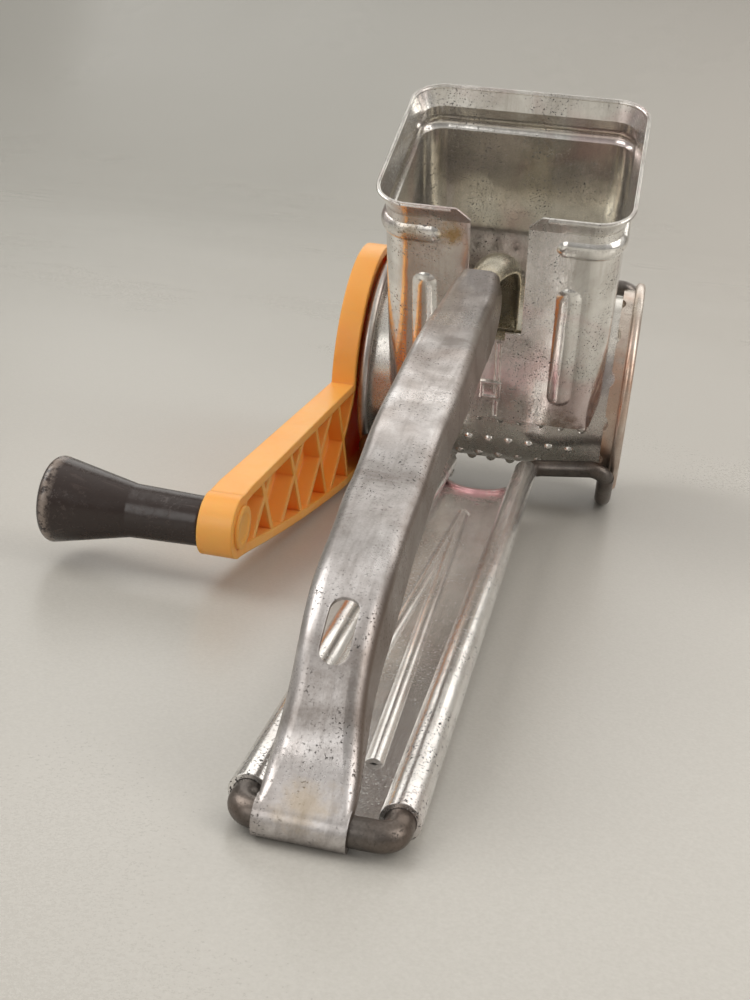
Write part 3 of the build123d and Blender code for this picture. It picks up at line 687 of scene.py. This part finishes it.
nodeFinishes = {
    "hopper_shell": hopperTin,
    "rear_ear_left": hopperTin,
    "rear_ear_right": hopperTin,
    "ear_rivet_left": rivetSteel,
    "ear_rivet_right": rivetSteel,
    "wire_frame": wireSteel,
    "lower_handle_plate": plateTin,
    "upper_handle": handleTin,
    "presser_neck": neckTin,
    "presser_plate": neckTin,
    "presser_rivets": rivetSteel,
    "drum_shell": drumTin,
    "drum_end_cap": capTin,
    "drum_mouth_ring": mouthTin,
    "crank_arm": crankPlastic,
    "crank_rivet": rivetSteel,
    "crank_washer": rivetSteel,
    "knob": knobPlastic,
    "knob_pin": rivetSteel,
    "knob_washer": rivetSteel,
}
for nodeName, node in nodes.items():
    if not node.material_slots:
        node.data.materials.append(None)
    for slot in node.material_slots:
        slot.material = nodeFinishes[nodeName]
print("finishes on", len(nodeFinishes), "nodes")


# places in the hopper's own frame: x sideways, depth to the back, height to the rim, in mm
hopperTilt = math.radians(31.6)
smoothAngle = math.radians(35)


def hopperPlace(x, depth, height):
    y = depth * math.cos(hopperTilt) - height * math.sin(hopperTilt)
    z = depth * math.sin(hopperTilt) + height * math.cos(hopperTilt)
    return (x / 1000, y / 1000, z / 1000)


# places a finished piece at the origin, with its normals, finish, slot and body
def settle(piece, name, finish, body):
    bpy.ops.object.mode_set(mode="OBJECT")
    bpy.ops.object.select_all(action="DESELECT")
    piece.select_set(True)
    bpy.context.view_layer.objects.active = piece
    bpy.ops.object.transform_apply(location=True, rotation=True, scale=True)
    bpy.ops.object.mode_set(mode="EDIT")
    bpy.ops.mesh.select_all(action="SELECT")
    bpy.ops.mesh.normals_make_consistent(inside=False)
    bpy.ops.object.mode_set(mode="OBJECT")
    bpy.ops.object.shade_smooth_by_angle(angle=smoothAngle)
    piece.name = name
    piece.data.name = name
    piece.data.materials.clear()
    piece.data.materials.append(finish)
    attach(piece, body)
    bpy.ops.object.select_all(action="DESELECT")


# goes into edit mode with only the faces that follow the rule selected
def chooseFaces(piece, rule):
    bpy.ops.object.mode_set(mode="EDIT")
    bpy.ops.mesh.select_mode(type="FACE")
    bpy.ops.mesh.select_all(action="DESELECT")
    bpy.ops.object.mode_set(mode="OBJECT")
    for face in piece.data.polygons:
        face.select = rule(face)
    bpy.ops.object.mode_set(mode="EDIT")


# rounds every edge of the piece in edit mode
def softenEdges(width, segments=2):
    bpy.ops.mesh.select_all(action="SELECT")
    bpy.ops.mesh.bevel(offset=width / 1000, segments=segments, affect="EDGES")


# sinks a panel into the selected faces: a flat border, then a short step down
def sinkPanel(border, step, depth):
    bpy.ops.mesh.inset(thickness=border / 1000, depth=0.0)
    bpy.ops.mesh.inset(thickness=step / 1000, depth=-depth / 1000)


# a block turned with the hopper, its thickness along the hopper's depth
def hopperBlock(x, depth, height, width, thickness, length):
    spot = hopperPlace(x, depth, height)
    bpy.ops.mesh.primitive_cube_add(size=1, location=spot, rotation=(hopperTilt, 0, 0))
    block = bpy.context.object
    block.scale = (width / 1000, thickness / 1000, length / 1000)
    bpy.ops.object.transform_apply(location=False, rotation=False, scale=True)
    return block


# the folded seam down the front wall, and the locking tab that crosses it
seamSize = {
    "x": 1.4,
    "low": 6.2,
    "high": 29.0,
    "width": 1.5,
    "proud": 0.32,
    "tabX": -0.1,
    "tabHeight": 14.5,
    "tabWidth": 5.0,
    "tabLength": 5.4,
    "tabProud": 0.5,
    "wall": 23.5,
    "foldPanel": (0.28, 0.12, 0.22),
    "foldRound": 0.08,
    "tabPanel": (0.8, 0.25, 0.3),
    "tabRound": 0.12,
}


def buildSeamFold(seam):
    middle = (seam["low"] + seam["high"]) / 2
    length = seam["high"] - seam["low"]
    fold = hopperBlock(seam["x"], -seam["wall"], middle, seam["width"], 2 * seam["proud"], length)
    chooseFaces(fold, lambda face: face.normal.y < -0.9)
    sinkPanel(*seam["foldPanel"])
    softenEdges(seam["foldRound"])
    settle(fold, "hopperSeamFold", hopperTin, "frame")


def buildSeamTab(seam):
    place = (seam["tabX"], -seam["wall"], seam["tabHeight"])
    tab = hopperBlock(*place, seam["tabWidth"], 2 * seam["tabProud"], seam["tabLength"])
    chooseFaces(tab, lambda face: face.normal.y < -0.9)
    sinkPanel(*seam["tabPanel"])
    softenEdges(seam["tabRound"])
    settle(tab, "hopperSeamTab", hopperTin, "frame")


buildSeamFold(seamSize)
buildSeamTab(seamSize)
print("seam built")


# the rolled hem round the hopper's rim, open at the slot
hemSize = {
    "halfWidth": 27.25,
    "halfDepth": 25.05,
    "height": 63.75,
    "corner": 7.6,
    "radius": 0.5,
    "opening": 10.2,
    "cornerSteps": 8,
    "roundness": 3,
}


def buildHem(hem):
    bpy.ops.mesh.primitive_plane_add(size=2, location=(0, 0, 0))
    rim = bpy.context.object
    rim.scale = (hem["halfWidth"] / 1000, hem["halfDepth"] / 1000, 1)
    bpy.ops.object.transform_apply(location=False, rotation=False, scale=True)
    bpy.ops.object.mode_set(mode="EDIT")
    bpy.ops.mesh.select_all(action="SELECT")
    bpy.ops.mesh.bevel(offset=hem["corner"] / 1000, segments=hem["cornerSteps"], affect="VERTICES")
    for side in (-1, 1):
        bpy.ops.mesh.select_all(action="SELECT")
        bpy.ops.mesh.bisect(plane_co=(side * hem["opening"] / 1000, 0, 0), plane_no=(1, 0, 0))
    bpy.ops.mesh.select_all(action="SELECT")
    bpy.ops.mesh.delete(type="ONLY_FACE")
    bpy.ops.mesh.select_mode(type="EDGE")
    bpy.ops.mesh.select_all(action="DESELECT")
    bpy.ops.object.mode_set(mode="OBJECT")
    points = rim.data.vertices
    opening = hem["opening"] / 1000 + 1e-5
    halfDepth = hem["halfDepth"] / 1000
    for edge in rim.data.edges:  # the two cuts across, and the front between them
        first, second = (points[index].co for index in edge.vertices)
        inside = max(abs(first.x), abs(second.x)) < opening
        across = abs(first.x - second.x) < 1e-6 and abs(first.y - second.y) > halfDepth
        front = max(first.y, second.y) < -halfDepth / 2
        edge.select = inside and (across or front)
    bpy.ops.object.mode_set(mode="EDIT")
    bpy.ops.mesh.delete(type="EDGE")
    bpy.ops.object.mode_set(mode="OBJECT")
    bpy.ops.object.convert(target="CURVE")
    rim.data.bevel_depth = hem["radius"] / 1000
    rim.data.bevel_resolution = hem["roundness"]
    rim.data.use_fill_caps = True
    bpy.ops.object.convert(target="MESH")
    rim = bpy.context.object
    rim.location = hopperPlace(0, 0, hem["height"])
    rim.rotation_euler = (hopperTilt, 0, 0)
    settle(rim, "hopperHem", hopperTin, "frame")


buildHem(hemSize)
print("hem built")


# the presser's neck: an arch from inside the handle's tip, through the slot and down to the saddle
# each station: x, y, z of the arch's centre, its pitch, half-width and height, in mm and degrees
neckSize = {
    "stations": [
        (-3.7, -59.0, 19.6, 45, 3.5, 2.6),
        (-3.2, -54.2, 24.4, 43, 3.4, 2.5),
        (-2.4, -50.6, 27.2, 32, 3.3, 2.6),
        (-1.2, -46.4, 29.0, 18, 3.7, 3.0),
        (-0.2, -41.2, 29.8, 2, 4.3, 3.4),
        (0.0, -35.6, 28.6, -24, 4.7, 3.6),
        (0.0, -30.6, 25.2, -42, 4.6, 3.6),
        (0.0, -26.6, 20.8, -51, 4.3, 3.3),
        (0.0, -23.6, 16.6, -56, 4.1, 3.0),
        (0.0, -21.4, 13.2, -58, 4.1, 2.8),
    ],
    "sides": 20,
    "open": 4,
    "sheet": 0.8,
    "footWidth": 18.4,
    "footLength": 6.6,
    "footThickness": 0.8,
    "footReach": 24.66,
    "footAngle": -18.0,
    "footRound": 0.22,
    "footSteps": 3,
}


def buildHood(neck):
    rings = []
    sides = neck["sides"]
    for x, y, z, pitch, half, high in neck["stations"]:
        bpy.ops.mesh.primitive_circle_add(
            vertices=sides,
            radius=half / 1000,
            location=(x / 1000, y / 1000, z / 1000),
            rotation=(math.radians(pitch - 90), 0, 0),
        )
        ring = bpy.context.object
        ring.scale = (1, high / half, 1)
        rings.append(ring)
    for ring in rings:
        ring.select_set(True)
    bpy.context.view_layer.objects.active = rings[0]
    bpy.ops.object.transform_apply(location=True, rotation=True, scale=True)
    bpy.ops.object.join()
    neckShell = bpy.context.object
    bpy.ops.object.mode_set(mode="EDIT")
    bpy.ops.mesh.select_mode(type="EDGE")
    for step in range(len(rings) - 1):
        bpy.ops.mesh.select_all(action="DESELECT")
        bpy.ops.object.mode_set(mode="OBJECT")
        for edge in neckShell.data.edges:
            loops = {index // sides for index in edge.vertices}
            edge.select = len(loops) == 1 and loops <= {step, step + 1}
        bpy.ops.object.mode_set(mode="EDIT")
        bpy.ops.mesh.bridge_edge_loops()
    under = set(range(neck["open"])) | set(range(sides - neck["open"] + 1, sides))
    chooseFaces(neckShell, lambda face: any(index % sides in under for index in face.vertices))
    bpy.ops.mesh.delete(type="FACE")
    bpy.ops.mesh.select_all(action="SELECT")
    bpy.ops.mesh.normals_make_consistent(inside=False)
    bpy.ops.object.mode_set(mode="OBJECT")
    crown = max(neckShell.data.polygons, key=lambda face: face.center.z)
    if crown.normal.z < 0:
        neckShell.data.flip_normals()
    wall = neckShell.modifiers.new("wall", "SOLIDIFY")
    wall.thickness = neck["sheet"] / 1000
    wall.offset = -1
    smooth = neckShell.modifiers.new("smooth", "SUBSURF")
    smooth.levels = smooth.render_levels = 2
    for name in ("wall", "smooth"):
        bpy.ops.object.modifier_apply(modifier=name)
    settle(neckShell, "presserHood", neckTin, "lifting_handle")
    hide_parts("presser_neck")


def buildFoot(neck):
    turn = math.radians(neck["footAngle"])
    spot = hopperPlace(0, neck["footReach"] * math.sin(turn), neck["footReach"] * math.cos(turn))
    bpy.ops.mesh.primitive_cube_add(size=1, location=spot, rotation=(hopperTilt - turn, 0, 0))
    foot = bpy.context.object
    foot.scale = (neck["footWidth"] / 1000, neck["footLength"] / 1000, neck["footThickness"] / 1000)
    bpy.ops.object.transform_apply(location=False, rotation=False, scale=True)
    bpy.ops.object.mode_set(mode="EDIT")
    softenEdges(neck["footRound"], neck["footSteps"])
    settle(foot, "presserFoot", neckTin, "lifting_handle")
    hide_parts("presser_neck")


buildHood(neckSize)
buildFoot(neckSize)
print("presser neck built")


# a moulded cap over the pin's inner end, in the crank's recess
capSize = {
    "x": -36.0,
    "y": -103.0,
    "z": -18.7,
    "radius": 4.2,
    "thickness": 0.9,
    "sides": 48,
    "panel": (1.2, 0.2, 0.25),
    "round": 0.08,
}


def buildPinCap(cap):
    bpy.ops.mesh.primitive_cylinder_add(
        vertices=cap["sides"],
        radius=cap["radius"] / 1000,
        depth=cap["thickness"] / 1000,
        location=(cap["x"] / 1000, cap["y"] / 1000, cap["z"] / 1000),
        rotation=(0, math.pi / 2, 0),
    )
    disc = bpy.context.object
    chooseFaces(disc, lambda face: face.normal.z > 0.9)
    sinkPanel(*cap["panel"])
    softenEdges(cap["round"])
    settle(disc, "crankPinCap", crankPlastic, "drum")


buildPinCap(capSize)
print("pin cap built")


# floor sheet that sweeps up behind, and soft lamps
floorLevel = -0.030235
floorSize = {"width": 8.0, "front": 4.0, "back": 0.9, "sweep": 0.9, "wall": 2.5, "steps": 12}
floorLook = {
    # painted light: the sheet is darker and cooler at the left, lighter and warmer at the right
    "left": hue(0.43, 0.42, 0.385),
    "right": hue(0.54, 0.51, 0.465),
    "reach": 0.35,
    "cloud": {"scale": 5.0, "detail": 3.0, "roughness": 0.5, "low": 0.3, "high": 0.7},
    "cloudRough": 0.06,
    "fine": {"scale": 1900.0, "detail": 2.0, "roughness": 0.6},
    "fineShare": 0.22,
    "fineRough": 0.08,
    "polish": 0.27,
    "bump": 0.25,
    "height": 0.0001,
}


def floorFinish(look):
    material, tree, shader, coordinates = newMaterial("satinSheet")
    place = coordinates.outputs["Object"]
    across = addNode(tree, "ShaderNodeSeparateXYZ", {0: place}).outputs[0]
    side = remap(tree, across, -look["reach"], look["reach"])
    cloudy = spread(tree, place, look["cloud"])
    low, high = look["cloud"]["low"], look["cloud"]["high"]
    clouds = remap(tree, cloudy, low, high, -look["cloudRough"], look["cloudRough"])
    fine = spread(tree, place, look["fine"])
    # painted light: the colour runs from the darker left to the lighter right
    colour = mixColour(tree, side, look["left"], look["right"])
    tree.links.new(grainColour(tree, look["fineShare"], colour, fine), shader.inputs["Base Color"])
    fineRough = plus(tree, look["polish"], times(tree, fine, look["fineRough"]))
    tree.links.new(plus(tree, clouds, fineRough), shader.inputs["Roughness"])
    feeds = {"Strength": look["bump"], "Distance": look["height"], "Height": fine}
    bump = addNode(tree, "ShaderNodeBump", feeds)
    tree.links.new(bump.outputs[0], shader.inputs["Normal"])
    return material


def buildFloor(size):
    depth = size["front"] + size["back"]
    middle = (0, (size["back"] - size["front"]) / 2, floorLevel)
    bpy.ops.mesh.primitive_plane_add(size=1, location=middle)
    sheet = bpy.context.object
    sheet.scale = (size["width"], depth, 1)
    bpy.ops.object.transform_apply(location=True, rotation=True, scale=True)
    bpy.ops.object.mode_set(mode="EDIT")
    bpy.ops.mesh.select_mode(type="EDGE")
    bpy.ops.mesh.select_all(action="DESELECT")
    bpy.ops.object.mode_set(mode="OBJECT")
    points = sheet.data.vertices
    for edge in sheet.data.edges:
        edge.select = all(points[index].co.y > size["back"] - 0.01 for index in edge.vertices)
    bpy.ops.object.mode_set(mode="EDIT")
    turn = math.pi / 2 / size["steps"]
    for step in range(size["steps"]):
        start, end = step * turn, (step + 1) * turn
        ahead = size["sweep"] * (math.sin(end) - math.sin(start))
        rise = size["sweep"] * (math.cos(start) - math.cos(end))
        bpy.ops.mesh.extrude_region_move(TRANSFORM_OT_translate={"value": (0, ahead, rise)})
    bpy.ops.mesh.extrude_region_move(TRANSFORM_OT_translate={"value": (0, 0, size["wall"])})
    bpy.ops.object.mode_set(mode="OBJECT")
    bpy.ops.object.shade_smooth()
    sheet.name = "tableSheet"
    sheet.data.materials.append(floorFinish(floorLook))
    sheet.select_set(False)


buildFloor(floorSize)

# each lamp: name, place, size, power and colour; all look at one spot near the handle
lampAim = (0.0, -0.08, 0.0)
lampSetup = [
    ("windowLamp", (-0.95, -0.10, 1.00), (0.9, 0.9), 8.0, (1.0, 0.99, 0.97)),
    ("sideLamp", (0.95, -0.30, 0.65), (0.6, 1.0), 4.5, (1.0, 0.975, 0.94)),
    ("frontLamp", (-0.55, -1.10, 0.45), (0.7, 0.7), 3.0, (1.0, 0.985, 0.96)),
    ("backLamp", (0.15, 1.25, 0.95), (2.4, 0.9), 9.0, (1.0, 0.985, 0.96)),
]


def placeLamps(lamps):
    for name, place, size, power, tint in lamps:
        bpy.ops.object.light_add(type="AREA", location=place)
        lamp = bpy.context.object
        lamp.name = name
        lamp.data.shape = "RECTANGLE"
        lamp.data.size, lamp.data.size_y = size
        lamp.data.energy = power
        lamp.data.color = tint
        lamp.visible_camera = False
        aim = Vector(lampAim) - Vector(place)
        lamp.rotation_mode = "QUATERNION"
        lamp.rotation_quaternion = aim.to_track_quat("-Z", "Y")


placeLamps(lampSetup)


# a soft room: brighter overhead, dimmer behind the camera, plain where the camera sees it
roomLight = {
    "rise": (-0.1, 0.8),
    "ahead": (-0.8, 0.4),
    "low": 0.35,
    "high": 0.95,
    "behind": 0.5,
    "warm": hue(1.0, 0.97, 0.93),
    "seen": hue(0.45, 0.43, 0.40),
}


def buildWorld(room):
    world = bpy.data.worlds.new("softRoom")
    bpy.context.scene.world = world
    world.use_nodes = True
    tree = world.node_tree
    tree.nodes.clear()
    output = tree.nodes.new("ShaderNodeOutputWorld")
    light = tree.nodes.new("ShaderNodeBackground")
    tree.links.new(light.outputs[0], output.inputs["Surface"])
    way = addNode(tree, "ShaderNodeTexCoord").outputs["Generated"]
    parts = addNode(tree, "ShaderNodeSeparateXYZ", {0: way}).outputs
    upward = remap(tree, parts[2], *room["rise"], room["low"], room["high"])
    behind = remap(tree, parts[1], *room["ahead"], room["behind"], 1.0)
    level = times(tree, upward, behind)
    seen = tree.nodes.new("ShaderNodeLightPath").outputs["Is Camera Ray"]
    glow = mixColour(tree, level, hue(0, 0, 0), room["warm"])
    tree.links.new(mixColour(tree, seen, glow, room["seen"]), light.inputs["Color"])
    light.inputs["Strength"].default_value = 1.0


buildWorld(roomLight)
bpy.context.scene.view_settings.view_transform = "Standard"
print("stage and lamps ready")
